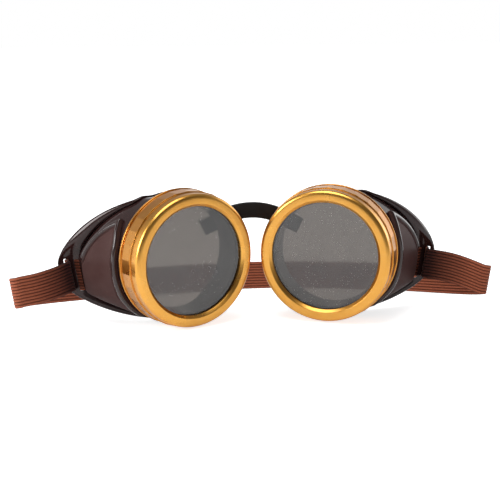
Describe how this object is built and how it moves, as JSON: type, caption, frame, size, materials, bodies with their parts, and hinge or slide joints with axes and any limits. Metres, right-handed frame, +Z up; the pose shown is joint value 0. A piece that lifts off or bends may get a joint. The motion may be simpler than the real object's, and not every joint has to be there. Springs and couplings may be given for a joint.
{
  "type": "cup goggles",
  "caption": "Costume cup goggles with gold screw rings, round tinted lenses, dark side cups, a flexible nose bridge and a ribbed elastic strap.",
  "frame": {"origin": "under the middle of the whole part, on the surface it lies on", "axes": "+X to the right in a front view, +Y from the lenses to the back of the strap, +Z up"},
  "size_m": [0.2164, 0.0806, 0.0604],
  "materials": {
    "cup": "gloss dark brown moulding",
    "cover": "satin dark brown moulding",
    "ring": "metallic gold coat on moulded plastic",
    "lens": "clear grey tint",
    "gasket": "matte",
    "bridge": "matte flexible strip",
    "strap": "ribbed woven elastic"
  },
  "bodies": {
    "bridge": {"nose_bridge": "bridge", "elastic_strap": "strap"},
    "left_cup": {"left_eye_cup": "cup", "left_vent_cover": "cover"},
    "left_lens_set": {"left_tinted_lens": "lens", "left_lens_gasket": "gasket"},
    "left_ring": {"left_lens_ring": "ring"},
    "right_cup": {"right_eye_cup": "cup", "right_vent_cover": "cover"},
    "right_lens_set": {"right_tinted_lens": "lens", "right_lens_gasket": "gasket"},
    "right_ring": {"right_lens_ring": "ring"}
  },
  "joints": [
    {"name": "left_cup_swing", "type": "hinge", "parent": "bridge", "child": "left_cup", "pos_m": [-0.0136, -0.0006, 0.0442], "axis": [0, 0, -1], "range_deg": [-1, 27], "stiffness_Nm_per_rad": 0.02, "deforming": ["nose_bridge", "elastic_strap"]},
    {"name": "left_lens_slide", "type": "slide", "parent": "left_cup", "child": "left_lens_set", "axis": [0.4446, -0.8957, 0], "range_m": [0, 0.0045]},
    {"name": "left_ring_turn", "type": "hinge", "parent": "left_lens_set", "child": "left_ring", "pos_m": [-0.0279, -0.02831, 0.0302], "axis": [0.4446, -0.8957, 0], "range_deg": [0, 540]},
    {"name": "right_cup_swing", "type": "hinge", "parent": "bridge", "child": "right_cup", "pos_m": [0.0136, -0.0006, 0.0442], "axis": [0, 0, 1], "range_deg": [-1, 27], "stiffness_Nm_per_rad": 0.02, "deforming": ["nose_bridge", "elastic_strap"]},
    {"name": "right_lens_slide", "type": "slide", "parent": "right_cup", "child": "right_lens_set", "axis": [-0.4446, -0.8957, 0], "range_m": [0, 0.0045]},
    {"name": "right_ring_turn", "type": "hinge", "parent": "right_lens_set", "child": "right_ring", "pos_m": [0.0279, -0.02831, 0.0302], "axis": [-0.4446, -0.8957, 0], "range_deg": [0, 540]}
  ],
  "couplings": [
    {"joint": "left_lens_slide", "follows": "left_ring_turn", "m_per_rad": 0.00047746},
    {"joint": "right_lens_slide", "follows": "right_ring_turn", "m_per_rad": 0.00047746}
  ]
}
